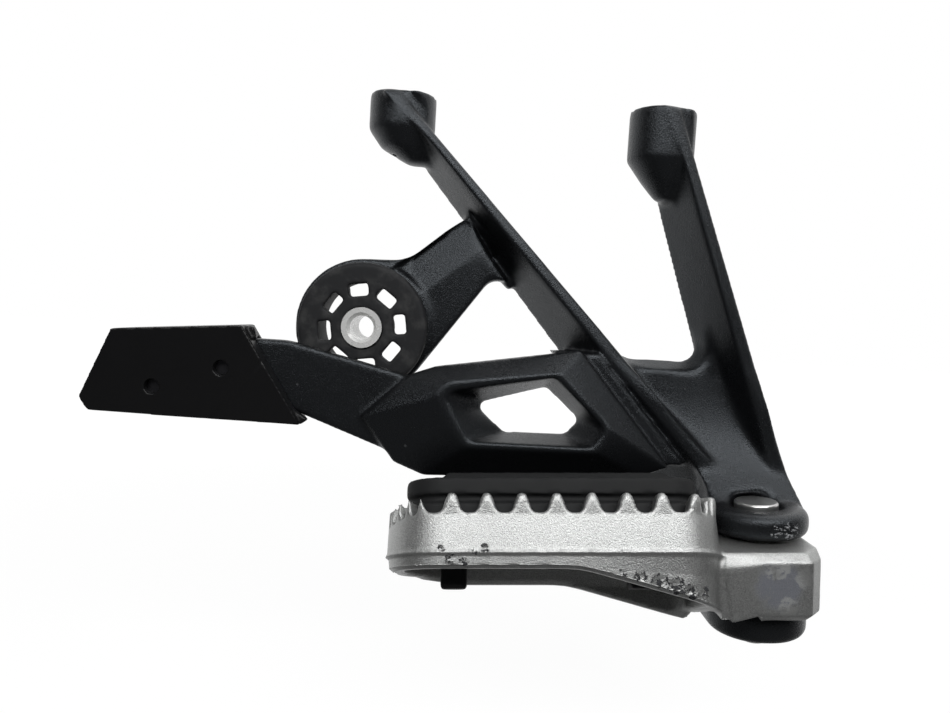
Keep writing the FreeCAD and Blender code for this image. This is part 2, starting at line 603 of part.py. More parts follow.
def make_end_pad():
    """Plastic pad on the rear arm, slotted from the front end to take the arm's blade."""
    body = new_body("end_pad")
    corners = [
        ("-pad_left_reach", "-pad_top_drop"),
        ("-pad_right_reach", "-pad_crest_drop"),
        ("-pad_toe_reach", "-pad_toe_drop"),
        ("-pad_heel_reach", "-pad_heel_drop", "pad_corner"),
        ("-pad_nose_reach", "-pad_nose_drop", "pad_corner"),
    ]
    block = outline(body, "block", "XZ_Plane", corners, **at_out("pad_back"))
    pad(body, "block", block, "pad_front - pad_back")
    lip = [("-pad_right_reach - lip_reach", "-pad_crest_drop - lip_fall"),
           ("lip_reach - pad_right_reach", "-pad_crest_drop - lip_fall"),
           ("lip_reach + lip_skew - pad_right_reach", "-pad_crest_drop - lip_drop"),
           ("-pad_right_reach", "-pad_crest_drop - lip_drop")]
    hook = [("-pad_toe_reach - 2 * lip_reach", "hook_rise - pad_toe_drop"),
            ("-pad_toe_reach - lip_reach", "hook_rise - pad_toe_drop"),
            ("hook_reach - pad_toe_reach", "hook_lift - pad_toe_drop"),
            ("-pad_toe_reach", "-pad_toe_drop"),
            ("-pad_toe_reach - lip_reach", "lip_fall - pad_toe_drop")]
    for name, corners in (("lip", lip), ("hook", hook)):
        under = "blade_back + blade_thick + lip_gap"
        sketch = outline(body, name, "XZ_Plane", corners, **at_out(under))
        pad(body, name, sketch, "lip_out - (%s)" % under)
    slot = outline(body, "blade_slot", "XZ_Plane", blade_corners("pad_slot_gap"),
                   **at_out("blade_back + blade_thick + pad_slot_gap"))
    pocket(body, "blade_slot", slot, "blade_thick + 2 * pad_slot_gap")
    heads = circles(body, "screw_heads", "XZ_Plane", screw_places("screw_head_radius + screw_gap"),
                    **at_out("pad_front"))
    pocket(body, "screw_heads", heads, "screw_sink + screw_head")
    shanks = circles(body, "screw_shanks", "XZ_Plane", screw_places("screw_radius + screw_gap"),
                     **at_out("pad_front"))
    pocket(body, "screw_shanks", shanks, "pad_front - blade_back - blade_thick")


def make_end_pad_screws():
    """Two separate screws in one group."""
    screws = []
    for index, (across, up, _) in enumerate(screw_places("screw_radius")):
        body = doc.addObject("PartDesign::Body", "end_pad_screw_%d" % index)
        turned(body, "screw_%d" % index, [
            ("0", "blade_back"), ("screw_radius", "blade_back"),
            ("screw_radius", "pad_front - screw_sink - screw_head"),
            ("screw_head_radius", "pad_front - screw_sink - screw_head"),
            ("screw_head_radius", "pad_front - screw_sink"), ("0", "pad_front - screw_sink")])
        place(body, (across, "0", up), ALONG, "90")
        screws.append(body)
    group = doc.addObject("Part::Compound", "end_pad_screws")
    group.Label = "end_pad_screws"
    group.Links = screws


def make_pivot_pin():
    """Headed pin with a clip groove near its lower end."""
    body = new_body("pivot_pin")
    seat = "lug_gap / 2 + upper_lug - pin_sunk"
    under = "-lug_gap / 2 - lower_lug - clip_seat"
    groove = "pin_radius - clip_depth"
    end = "-lug_gap / 2 - lower_lug - pin_tail"
    turned(body, "pin", [
        ("0", end), ("pin_radius - pin_bevel", end), ("pin_radius", end + " + pin_bevel"),
        ("pin_radius", under + " - clip_thick"), (groove, under + " - clip_thick"), (groove, under),
        ("pin_radius", under), ("pin_radius", seat), ("pin_head_radius", seat),
        ("pin_head_radius", seat + " + pin_head", "pin_bevel"), ("0", seat + " + pin_head")])
    place_on_pin(body)


def make_ring_on_pin(name, inner, outer, low, thick):
    """Flat ring round the pin, its lower face at a formula's height."""
    body = new_body(name)
    rounds = circles(body, name, "XY_Plane", [("0", "0", outer), ("0", "0", inner)], spot=("0", "0", low))
    pad(body, name + "_ring", rounds, thick)
    place_on_pin(body)
    return body


def make_pin_rings():
    """Clip below the lower lug, and a washer at each end of the hub."""
    low = "-lug_gap / 2 - lower_lug - clip_seat - clip_thick"
    clip = make_ring_on_pin("pin_circlip", "pin_radius - clip_depth + pin_gap", "clip_radius",
                            low, "clip_thick - pin_gap")
    mouth = outline(clip, "clip_mouth", "XY_Plane",
                    box_corners("0", "2 * clip_radius", "-clip_mouth / 2", "clip_mouth / 2"),
                    spot=("0", "0", low))
    pocket(clip, "clip_mouth", mouth, "clip_thick", reverse=True)
    bore = "pin_radius + washer_gap"
    make_ring_on_pin("upper_washer", bore, "washer_radius", "lug_gap / 2 - washer_thick", "washer_thick")
    make_ring_on_pin("lower_washer", bore, "washer_radius", "-lug_gap / 2", "washer_thick")


def on_tread(across, width, height):
    """Seat of a sketch lying in the tread, which is rolled about the footrest's length."""
    inboard = "(%s) * cos(tread_roll) + (%s) * sin(tread_roll)" % (width, height)
    level = "(%s) * cos(tread_roll) - (%s) * sin(tread_roll)" % (height, width)
    return {"spot": (across, inboard, level), "axis": ALONG, "turn": "-tread_roll"}


def tread_corners(inset):
    """Outline of the toothed ring, drawn in by a formula."""
    tip = "tip_round - (%s)" % inset
    hub = "hub_round - (%s)" % inset
    heel = "heel_round - (%s)" % inset
    left = "-tread_tip + (%s)" % inset
    right = "-tread_hub - (%s)" % inset
    near = "-tread_near + (%s)" % inset
    far = "tread_far - (%s)" % inset
    return [(left, near, tip), (right, near, heel), (right, far, hub), (left, far, tip)]


def side_of_tread(body, name, corners):
    """Upright sketch through the pin, seen along the footrest's width."""
    return outline(body, name, "XZ_Plane", corners, spot=("0", "0", "0"), axis=ALONG, turn="-tread_roll")


def gap_corners(middle, size=""):
    """One rounded gap between two teeth, about a formula's place along the tread."""
    mouth, root, rounding = (size + name for name in ("gap_mouth", "gap_root", "gap_round"))
    top = "tooth_top + tooth_height"
    low = "tooth_top - tooth_height"
    wide = "%s / 2 + %s - %s" % (mouth, mouth, root)
    return [("%s - (%s)" % (middle, wide), top), ("%s - %s / 2" % (middle, root), low, rounding),
            ("%s + %s / 2" % (middle, root), low, rounding), ("%s + (%s)" % (middle, wide), top)]


def cut_side_teeth(body):
    """A row of gaps through both long walls of the ring."""
    sketch = side_of_tread(body, "tooth_gap", gap_corners("-first_gap"))
    gap = pocket(body, "tooth_gap", sketch, "through", both=True)
    pattern = body.newObject("PartDesign::LinearPattern", "tooth_gaps")
    pattern.Originals = [gap]
    pattern.Direction = (sketch, ["H_Axis"])
    bind(pattern, "Length", "tooth_pitch * (tooth_count - 1)")
    bind(pattern, "Occurrences", "tooth_count")
    body.Tip = pattern
    doc.recompute()


def corner_gap(body, name, across, width, heading, size):
    """A gap through the ring's wall, seen from a point inside it along a heading."""
    roll = Rotation(ALONG, -number("tread_roll"))
    sketch = body.newObject("Sketcher::SketchObject", name + "_outline")
    attach(sketch, body, "XZ_Plane")
    turn = roll.multiply(Rotation(ACROSS, number(heading)))
    sketch.AttachmentOffset = Placement(roll.multVec(Vector(number(across), 0, -number(width))), turn)
    for letter in "xyz":
        sketch.setExpression("AttachmentOffset.Base." + letter, None)
    draw_outline(sketch, gap_corners("0", size))
    pocket(body, name, sketch, "tip_round + wall", reverse=True)


def cut_end_teeth(body):
    """Closer gaps that follow the ring round its corners, and one in the middle of the tip."""
    near, far = "heel_round - tread_near", "tread_far - hub_round"
    tip = "tip_round - tread_tip"
    for index in range(int(number("tip_corner_gaps"))):
        step = "tip_gap_start + %d * corner_step" % index
        corner_gap(body, "tip_near_%d" % index, tip, "tip_round - tread_near", "-(%s)" % step, "small_")
        corner_gap(body, "tip_far_%d" % index, tip, "tread_far - tip_round", "%s - 180" % step, "small_")
    for index in range(int(number("heel_corner_gaps"))):
        step = "heel_gap_start + %d * corner_step" % index
        corner_gap(body, "heel_near_%d" % index, "-heel_round - tread_hub", near, step, "small_")
        corner_gap(body, "heel_far_%d" % index, "-hub_round - tread_hub", far, "180 - (%s)" % step, "small_")
    corner_gap(body, "tip_middle", tip, "(tread_far - tread_near) / 2", "-90", "")


def make_footpeg():
    """Cast footrest: a hub block on the pin and an open toothed ring."""
    body = new_body("footpeg")
    half = "lug_gap / 2 - washer_thick - hub_play"
    hub = [("-hub_left", "-hub_front"), ("hub_end - hub_corner", "-hub_front"),
           ("hub_end", "hub_corner - hub_front"), ("hub_end", "hub_end", "hub_end - hub_play"),
           ("-hub_left", "hub_end")]
    block = outline(body, "hub", "XY_Plane", hub, spot=("0", "0", "-(%s)" % half))
    pad(body, "hub", block, "2 * (%s)" % half)
    level = number(half)
    front = -number("hub_front") + number("hub_corner") + MATCH
    soften(body, "hub_bevel",
           lambda edge: abs(abs(edge.CenterOfMass.z) - level) < MATCH and edge.CenterOfMass.y < front,
           "hub_chamfer", kind="Chamfer")
    upper = outline(body, "ring_upper", "XY_Plane", tread_corners("0"), **on_tread("0", "0", "parting"))
    pad(body, "ring_upper", upper, "tooth_top - parting", taper="-wall_draft")
    lower = outline(body, "ring_lower", "XY_Plane", tread_corners("-ledge"), **on_tread("0", "0", "parting"))
    pad(body, "ring_lower", lower, "skirt", reverse=True, taper="-skirt_draft")
    well = outline(body, "well", "XY_Plane", tread_corners("wall"), **on_tread("0", "0", "tooth_top"))
    pocket(body, "well", well, "tooth_top - floor_top")
    under = outline(body, "under", "XY_Plane", tread_corners("wall"),
                    **on_tread("0", "0", "floor_top - floor_thick"))
    pocket(body, "under", under, "skirt + floor_top")
    arch = side_of_tread(body, "arch", [
        ("-2 * tread_tip", "-arch_level"), ("-arch_start", "-arch_level", "arch_round"),
        ("-tread_hub + hub_round", "-arch_level - arch_fall"),
        ("-tread_hub + hub_round", "-2 * skirt"), ("-2 * tread_tip", "-2 * skirt")])
    pocket(body, "arch", arch, "through", both=True)
    cut_side_teeth(body)
    cut_end_teeth(body)
    for name in ("plug_near", "plug_far"):
        middle = "-" + name
        corners = box_corners(middle + " - plug_length / 2 - rubber_gap",
                              middle + " + plug_length / 2 + rubber_gap",
                              "(tread_far - tread_near - plug_width) / 2 - rubber_gap",
                              "(tread_far - tread_near + plug_width) / 2 + rubber_gap")
        slot = outline(body, name + "_slot", "XY_Plane", corners, **on_tread("0", "0", "floor_top"))
        pocket(body, name + "_slot", slot, "floor_thick")
    bore = circles(body, "hub_bore", "XY_Plane", [("0", "0", "pin_radius + pin_gap")], spot=("0", "0", half))
    pocket(body, "hub_bore", bore, "2 * (%s)" % half)
    place_on_pin(body)


def make_footpeg_pad():
    """Rubber pad: a base in the ring's well, a waist, a brow over the teeth and a crown."""
    body = new_body("footpeg_pad")
    fit = "wall + rubber_gap"
    base = outline(body, "base", "XY_Plane", tread_corners(fit), **on_tread("0", "0", "floor_top"))
    pad(body, "base", base, "rubber_neck - floor_top")
    waist = outline(body, "waist", "XY_Plane", tread_corners(fit + " + rubber_waist"),
                    **on_tread("0", "0", "rubber_neck"))
    pad(body, "waist", waist, "rubber_brow - rubber_neck")
    brow = outline(body, "brow", "XY_Plane", tread_corners(fit), **on_tread("0", "0", "rubber_brow"))
    pad(body, "brow", brow, "rubber_top - rubber_brow")
    inset = "wall + rubber_gap + crown_slope"
    crown = box_corners("-tread_tip + crown_tip_inset", "-tread_hub - crown_hub_inset",
                        "-tread_near + %s" % inset, "tread_far - (%s)" % inset)
    sketch = outline(body, "crown", "XY_Plane", crown, **on_tread("0", "0", "rubber_top"))
    pad(body, "crown", sketch, "rubber_crown - rubber_top", taper="-crown_draft")
    for name in ("plug_near", "plug_far"):
        corners = box_corners("-%s - plug_length / 2" % name, "-%s + plug_length / 2" % name,
                              "(tread_far - tread_near - plug_width) / 2",
                              "(tread_far - tread_near + plug_width) / 2")
        plug = outline(body, name, "XY_Plane", corners, **on_tread("0", "0", "floor_top"))
        pad(body, name + "_stem", plug, "floor_top + plug_end", reverse=True)
    place_on_pin(body)


def build():
    make_hanger()
    make_damper_rubber()
    make_damper_sleeve()
    make_end_pad()
    make_end_pad_screws()
    make_pivot_pin()
    make_pin_rings()
    make_footpeg()
    make_footpeg_pad()
    doc.recompute()


def write_parts():
    """Check every object, then write one file for each piece."""
    for item in doc.Objects:
        if "Invalid" in item.State or "Error" in item.State:
            raise RuntimeError("%s did not build" % item.Name)
    pieces = [doc.getObject(node) for node in NODES]
    for piece in pieces:
        if piece.Shape.isNull() or not piece.Shape.isValid():
            raise RuntimeError("%s is not a valid solid" % piece.Label)
    os.makedirs("parts", exist_ok=True)
    for piece in pieces:
        piece.Shape.exportStep("parts/%s.step" % piece.Label)


if __name__ == "__main__":
    build()
    write_parts()
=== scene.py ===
"""Footrest hanger with a folding footpeg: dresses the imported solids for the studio."""

import math

import bpy
import numpy as np
from mathutils import Matrix, Vector


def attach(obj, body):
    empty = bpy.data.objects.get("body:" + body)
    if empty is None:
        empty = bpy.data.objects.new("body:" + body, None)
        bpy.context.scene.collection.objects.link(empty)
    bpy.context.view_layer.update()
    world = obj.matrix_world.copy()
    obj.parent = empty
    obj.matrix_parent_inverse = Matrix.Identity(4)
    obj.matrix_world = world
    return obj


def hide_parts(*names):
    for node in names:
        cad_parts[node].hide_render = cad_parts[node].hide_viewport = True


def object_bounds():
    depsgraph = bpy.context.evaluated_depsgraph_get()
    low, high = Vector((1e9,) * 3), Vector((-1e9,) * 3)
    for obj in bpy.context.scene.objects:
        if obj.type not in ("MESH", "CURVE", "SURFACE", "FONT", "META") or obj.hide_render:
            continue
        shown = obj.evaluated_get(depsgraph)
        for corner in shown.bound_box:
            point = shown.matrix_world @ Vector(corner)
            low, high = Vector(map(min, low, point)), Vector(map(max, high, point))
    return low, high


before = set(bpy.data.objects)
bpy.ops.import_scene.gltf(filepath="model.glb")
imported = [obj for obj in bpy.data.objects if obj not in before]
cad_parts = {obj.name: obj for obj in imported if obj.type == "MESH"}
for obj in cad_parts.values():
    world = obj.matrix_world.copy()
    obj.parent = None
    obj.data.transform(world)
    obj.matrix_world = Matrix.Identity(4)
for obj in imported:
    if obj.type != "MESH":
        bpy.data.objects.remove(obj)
CAD_BOX = [list(corner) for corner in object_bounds()]

bl_info = {
    "name": "Footrest hanger",
    "version": (1, 0, 0),
    "blender": (4, 5, 0),
    "location": "View3D > Sidebar > Footrest",
    "description": "Dresses a cast footrest hanger and its folding footpeg",
    "category": "Object",
}

MM = 0.001
# The least weight that counts in a vertex group, and how far one smoothing pass goes.
LEAST_WEIGHT = 0.001
SMOOTHING = 0.5
# Looks: the weak shine of rubber and plastic, the dust on rubber, the tint of the coat's shine.
WHITE = (1.0, 1.0, 1.0)
DULL_SHINE = 0.20
DUST = (0.085, 0.085, 0.083)
COAT_SHINE = (0.86, 0.93, 1.0)

# The stage, in metres. Lamps: place from the middle of the part, width and height.
LAMPS = {
    "key_lamp": ((0.06, -0.60, 0.52), 1.1, 0.28),
    "fill_lamp": ((0.52, -0.22, 0.58), 0.45, 0.35),
    "rim_lamp": ((0.30, 0.14, 0.80), 0.45, 0.45),
}
SHADOW_REACH, SHADOW_FADE = 0.25, 0.6
PAPER_GLOW = 1.04
# Reflections see white behind the part: Y of a direction in the sky, Y of a place on the floor.
SKY_BEHIND, FLOOR_BEHIND = (-0.1, 0.2), (-0.05, 0.10)
# The camera: the picture's width and the focal length in pixels, the sensor in millimetres.
PHOTO_WIDTH = 950
PHOTO_FOCAL = 740.0
SENSOR = 36.0

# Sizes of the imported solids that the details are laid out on. From here on, places, sizes
# and reaches are in millimetres.
PIN_LEAN = math.radians(3.5)
PIVOT = np.array((82.0, -22.0, -150.9))
TREAD_ROLL = math.radians(24.0)
RING_LEFT, RING_RIGHT, RING_NEAR, RING_FAR = -121.0, -17.0, -32.0, 15.0
RING_ROUNDS = {(-1, -1): 18.0, (1, -1): 15.5, (1, 1): 11.0, (-1, 1): 18.0}
RING_PARTING, TOOTH_ROOT = 0.5, 12.0
STRUT_SLOPE = math.radians(46.0)
WELD_GAP = 0.002

# Where walls of the casting run into each other: centre and reach.
BLENDS = (
    ((-37.0, -2.0, -22.0), 10.0), ((47.5, -2.0, -30.0), 10.0),
    ((-22.0, 0.0, -42.0), 7.0), ((-19.0, -2.0, -45.0), 9.0), ((-14.0, -2.0, -51.0), 11.0),
    ((-8.0, 0.0, -60.0), 9.0), ((12.5, -4.0, -85.5), 6.0),
    ((37.0, -2.0, -87.0), 12.0), ((62.0, -3.0, -85.0), 10.0), ((66.0, -3.0, -78.0), 7.0),
    ((74.0, -8.0, -104.0), 16.0), ((60.0, -8.0, -110.0), 14.0),
    ((80.0, -14.0, -122.0), 18.0), ((88.0, -12.0, -114.0), 14.0),
    ((72.0, -22.0, -130.0), 8.0), ((24.0, -19.0, -107.5), 8.0),
)
# Blocks that fill a gap beside the silencer web and the cut corner of the hub: centre,
# size and turn about Y.
CROTCH_BLOCK = ((-7.2, 5.6, -59.4), (11.0, 5.0, 4.0), STRUT_SLOPE)
HUB_BLOCK = ((70.5, -38.0, -157.0), (14.0, 16.0, 4.5), -PIN_LEAN)

# Masks below: a pair gives where a mask is nought and where it is one. Four numbers give
# where it starts, is full, is full for the last time and ends.

# Outer faces of the two struts: a point of each edge in the XZ plane and the edge's slope.
RIDGES = (((-42.1, -5.0), STRUT_SLOPE), ((50.4, -5.0), math.radians(69.2)))
RIDGE_FRONT = (-7.0, -11.0, -12.4, -13.2)
RIDGE_FOOT = (-100.0, -86.0)
RIDGE_ASIDE = (-8.0, -6.0, 3.0, 5.0)
RIDGE_FADE = (-5.0, 0.5)
# The silencer web: a point of its top edge and the way down from there in the XZ plane.
WEB_TOP = (-25.0, -43.0)
WEB_DOWN = (0.645, -0.764)
WEB_ALONG = (-48.0, -40.0, -14.0, -8.0)
WEB_FOOT = (-72.0, -66.0)
WEB_FRONT = (-1.5, -2.5, -3.5, -4.5)
WEB_EDGE = (-1.0, 0.0)
WEB_FADE = (12.5, 0.0)
# The end pad: two points of the crease across its face, in the XZ plane.
PAD_CREASE = (np.array((-86.9, -95.6)), np.array((-100.2, -110.6)))
PAD_FRONT = (-20.0, -21.5)
FACET_FADE = (0.0, 24.0)
CREASE_WIDTH = 0.9
# The footpeg, each mask measured from the place in its name: the ring's outline, tip, hub
# end and far side, the roots of the teeth, the parting line and the pivot's level.
SKIN_OUTLINE = (-2.0, -1.0, 1.5, 2.5)
SWELL_ROOT, SWELL_TIP = (-0.5, 3.5), (12.0, 20.0)
WORN_TIP, WORN_FAR, WORN_ROOT = (16.0, 10.0), (-20.0, -14.0), (-3.0, 0.0)
SKIRT_PARTING, DROP_PARTING = (-0.3, -0.9), (-0.5, -4.5)
WALL_FAR, WALL_HUB, WALL_TIP = (-7.0, -5.0), (8.0, 0.0), (4.0, 24.0)
ARCH_HUB = (-45.0, -4.0, 3.0, 12.0)
END_TIP, END_PIVOT = (15.0, 1.0), (1.0, TOOTH_ROOT)
PIT_GRAIN = 1.1

# Worn places: centre and reach.
LUG_SCUFFS = (((81.6, -38.0, -135.7), 1.5), ((86.6, -37.2, -135.2), 2.4))
SCRAPES = (
    ((32.0, -53.1, -145.8), 1.2), ((37.0, -53.6, -147.0), 1.8), ((42.5, -54.0, -148.0), 2.6),
    ((47.5, -54.3, -149.0), 2.8), ((51.5, -54.0, -150.4), 2.4), ((57.0, -52.6, -150.8), 1.8),
)
CHIPS = (
    ((-19.1, -52.0, -145.1), 1.3), ((-15.2, -52.4, -146.3), 1.3), ((-21.9, -50.7, -143.1), 0.8),
    ((-9.0, -50.6, -142.0), 1.1), ((-11.6, -51.6, -143.3), 0.8),
)
HUB_PATCH = ((80.5, -46.0, -149.8), 5.0)
HUB_SCUFFS = (
    ((79.5, -46.0, -144.4), 3.0), ((88.0, -46.0, -147.0), 2.2), ((83.5, -46.0, -156.0), 2.2),
)


def length(name, text, value):
    """A length in metres that a user may change."""
    return bpy.props.FloatProperty(name=name, description=text, default=value, min=0.0,
                                   precision=5, unit="LENGTH")


def share(name, text, value):
    """A number from nought to one."""
    return bpy.props.FloatProperty(name=name, description=text, default=value, min=0.0, max=1.0,
                                   subtype="FACTOR")


def count(name, text, value):
    """A whole number."""
    return bpy.props.IntProperty(name=name, description=text, default=value, min=0)


def power(name, text, value):
    """The power of a lamp in watts."""
    return bpy.props.FloatProperty(name=name, description=text, default=value, unit="POWER")


def position(name, text, value):
    """A place in metres, on either side of nought."""
    return bpy.props.FloatProperty(name=name, description=text, default=value, unit="LENGTH")


def angle(name, text, value):
    """An angle in radians."""
    return bpy.props.FloatProperty(name=name, description=text, default=value, unit="ROTATION")


def tint(name, text, value):
    """A colour."""
    return bpy.props.FloatVectorProperty(name=name, description=text, default=value, size=3,
                                         min=0.0, max=1.0, subtype="COLOR")


class Wire:
    """A shader socket that takes part in sums."""

    def __init__(self, graph, socket):
        self.graph = graph
        self.socket = socket

    def sum_of(self, operation, first, second):
        return self.graph.node("ShaderNodeMath", {"operation": operation}, {0: first, 1: second})

    def __add__(self, other):
        return self.sum_of("ADD", self, other)

    __radd__ = __add__

    def __sub__(self, other):
        return self.sum_of("SUBTRACT", self, other)

    def __rsub__(self, other):
        return self.sum_of("SUBTRACT", other, self)

    def __mul__(self, other):
        return self.sum_of("MULTIPLY", self, other)

    __rmul__ = __mul__

    def __or__(self, other):
        return self.sum_of("MAXIMUM", self, other)

    __ror__ = __or__


def feed(slot, value):
    """Links a wire to a socket, or sets the socket's own value."""
    if isinstance(value, Wire):
        slot.id_data.links.new(value.socket, slot)
    elif hasattr(slot.default_value, "__len__") and len(slot.default_value) == 4:
        slot.default_value = tuple(value) + (1.0,) * (4 - len(value))
    else:
        slot.default_value = value


class Graph:
    """A node tree that is built up node by node."""

    def __init__(self, tree):
        self.tree = tree

    def node(self, kind, settings=None, inputs=None, output=0):
        """Adds a node: its settings first, then its sockets; gives one output as a wire."""
        node = self.tree.nodes.new(kind)
        for key, value in (settings or {}).items():
            setattr(node, key, value)
        for key, value in (inputs or {}).items():
            feed(node.inputs[key], value)
        return Wire(self, node.outputs[output]) if node.outputs else None

    def band(self, wire, low, high):
        """Nought at low, one at high, smooth between; high may be the lower one."""
        return self.node("ShaderNodeMapRange", {"interpolation_type": "SMOOTHSTEP"}, {
            "Value": wire, "From Min": low, "From Max": high, "To Min": 0.0, "To Max": 1.0})

    def shader_mix(self, mask, first, second):
        """The first shader where the mask is nought, the second where it is one."""
        return self.node("ShaderNodeMixShader", None, {0: mask, 1: first, 2: second})

    def ray(self, kind):
        """One for rays of a kind."""
        return self.node("ShaderNodeLightPath", output="Is %s Ray" % kind)


class Finish(Graph):
    """A procedural surface."""

    def __init__(self, name):
        self.material = bpy.data.materials.new(name)
        self.material.use_nodes = True
        super().__init__(self.material.node_tree)
        self.shader = self.tree.nodes["Principled BSDF"]
        self.place = self.node("ShaderNodeTexCoord", output="Object")

    def surface(self, **sockets):
        """Sets or links sockets of the shader."""
        for key, value in sockets.items():
            feed(self.shader.inputs[key.replace("_", " ").title().replace("Ior", "IOR")], value)

    def noise(self, size, detail=2.0, rough=0.5, stretch=(1.0, 1.0, 1.0)):
        """Cloudy noise whose blotches are about size across."""
        where = self.node("ShaderNodeMapping", None, {"Vector": self.place, "Scale": stretch})
        return self.node("ShaderNodeTexNoise", None, {
            "Vector": where, "Scale": 1.0 / size, "Detail": detail, "Roughness": rough})

    def cells(self, size, output="Distance"):
        """Crystal cells about size across."""
        return self.node("ShaderNodeTexVoronoi", None, {
            "Vector": self.place, "Scale": 1.0 / size}, output)

    def spot(self, centre, reach, soft):
        """One within reach of a point, fading to nought over soft."""
        gap = self.node("ShaderNodeVectorMath", {"operation": "DISTANCE"}, {
            0: self.place, 1: tuple(centre)}, "Value")
        return self.band(gap, reach + soft, reach)

    def mixed(self, mask, first, second):
        """The first colour where the mask is nought, the second where it is one."""
        return self.node("ShaderNodeMix", {"data_type": "RGBA"}, {
            0: mask, 6: first, 7: second}, 2)

    def edges(self, low, high):
        """One on outward edges, nought on flats."""
        return self.band(self.node("ShaderNodeNewGeometry", output="Pointiness"), low, high)

    def relief(self, height, depth, strength=1.0, below=None):
        """A bump of a given depth in metres."""
        inputs = {"Height": height, "Distance": depth, "Strength": strength}
        if below:
            inputs["Normal"] = below
        return self.node("ShaderNodeBump", None, inputs, "Normal")


def nodes_finish(finish, *names):
    """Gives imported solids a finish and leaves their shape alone."""
    for name in names:
        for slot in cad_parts[name].material_slots:
            slot.material = finish.material


def pick(piece):
    """Makes a piece the only one selected."""
    bpy.ops.object.select_all(action="DESELECT")
    piece.select_set(True)
    bpy.context.view_layer.objects.active = piece


def copy_of(node, name):
    """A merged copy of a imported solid, ready to be worked on."""
    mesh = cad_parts[node].data.copy()
    mesh.materials.clear()
    piece = bpy.data.objects.new(name, mesh)
    bpy.context.scene.collection.objects.link(piece)
    pick(piece)
    bpy.ops.mesh.customdata_custom_splitnormals_clear()
    bpy.ops.object.mode_set(mode="EDIT")
    bpy.ops.mesh.select_all(action="SELECT")
    bpy.ops.mesh.remove_doubles(threshold=WELD_GAP * MM)
    bpy.ops.object.mode_set(mode="OBJECT")
    return piece


def apply(piece, kind, **settings):
    """Adds a modifier, sets it and applies it."""
    pick(piece)
    modifier = piece.modifiers.new(kind.title(), kind)
    for key, value in settings.items():
        setattr(modifier, key, value)
    bpy.ops.object.modifier_apply(modifier=modifier.name)


def points_of(piece):
    """The places of a mesh's points, one row each."""
    places = np.empty(len(piece.data.vertices) * 3)
    piece.data.vertices.foreach_get("co", places)
    return places.reshape(-1, 3)


def near_to(piece, zones):
    """A weight for each point: one in the inner third of a zone, nought at its edge."""
    places = points_of(piece)
    weights = np.zeros(len(places))
    for centre, reach in zones:
        gap = np.linalg.norm(places - np.array(centre) * MM, axis=1) / (reach * MM)
        weights = np.maximum(weights, np.clip(1.5 - 1.5 * gap, 0.0, 1.0))
    return weights


def thin_to(piece, most):
    """Joins the flattest triangles until no more than most are left."""
    triangles = sum(len(face.vertices) - 2 for face in piece.data.polygons)
    if triangles > most:
        apply(piece, "DECIMATE", ratio=most / triangles)


def settle(piece, finish, node, body):
    """Gives a finished piece its finish and its body, and hides the solid that it stands for."""
    piece.data.materials.clear()
    piece.data.materials.append(finish.material)
    pick(piece)
    bpy.ops.object.shade_smooth()
    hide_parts(node)
    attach(piece, body)


def group_of(piece, name, weights):
    """A vertex group with one weight for each point."""
    group = piece.vertex_groups.new(name=name)
    for index in np.nonzero(weights > LEAST_WEIGHT)[0]:
        group.add([int(index)], float(weights[index]), "REPLACE")
    return group.name


def push(piece, name, weights, way, depth, texture=None):
    """Moves the weighted points of a piece along a way by a depth."""
    group = group_of(piece, name, weights)
    apply(piece, "DISPLACE", direction=way, strength=depth, mid_level=0.0, vertex_group=group,
          texture=texture, texture_coords="LOCAL")


def weld_block(piece, centre, size, turn):
    """Joins a small block to a piece, to be rounded off with it."""
    bpy.ops.object.select_all(action="DESELECT")
    bpy.ops.mesh.primitive_cube_add(size=1.0, location=Vector(centre) * MM,
                                    rotation=(0.0, turn, 0.0), scale=Vector(size) * MM)
    bpy.ops.object.transform_apply(location=True, rotation=True, scale=True)
    piece.select_set(True)
    bpy.context.view_layer.objects.active = piece
    bpy.ops.object.join()


def ramp(values, low, high):
    """Nought at low and one at high, straight between."""
    return np.clip((values - low) / (high - low), 0.0, 1.0)


def within(values, start, full, last, end):
    """One from full to last, falling straight to nought at start and at end."""
    return ramp(values, start, full) * ramp(values, end, last)


def soften(piece, passes, group=""):
    """Smooths a piece, or only the points in one of its vertex groups."""
    apply(piece, "SMOOTH", factor=SMOOTHING, iterations=passes, vertex_group=group)


def in_tread(places):
    """Places in the footpeg's own directions, in millimetres: along, across and up."""
    gap = places / MM - PIVOT
    along = gap[:, 0] * math.cos(PIN_LEAN) + gap[:, 2] * math.sin(PIN_LEAN)
    rise = gap[:, 2] * math.cos(PIN_LEAN) - gap[:, 0] * math.sin(PIN_LEAN)
    across = gap[:, 1] * math.cos(TREAD_ROLL) - rise * math.sin(TREAD_ROLL)
    up = gap[:, 1] * math.sin(TREAD_ROLL) + rise * math.cos(TREAD_ROLL)
    return along, across, up


def ring_depth(along, across):
    """How far places lie inside the outline of the toothed ring, in millimetres."""
    side = along - (RING_LEFT + RING_RIGHT) / 2
    front = across - (RING_NEAR + RING_FAR) / 2
    rounding = np.zeros(len(along))
    for (left, near), radius in RING_ROUNDS.items():
        rounding[(np.sign(side) == left) & (np.sign(front) == near)] = radius
    over = np.abs(side) - (RING_RIGHT - RING_LEFT) / 2 + rounding
    past = np.abs(front) - (RING_FAR - RING_NEAR) / 2 + rounding
    corner = np.hypot(np.maximum(over, 0.0), np.maximum(past, 0.0))
    return rounding - corner - np.minimum(np.maximum(over, past), 0.0)


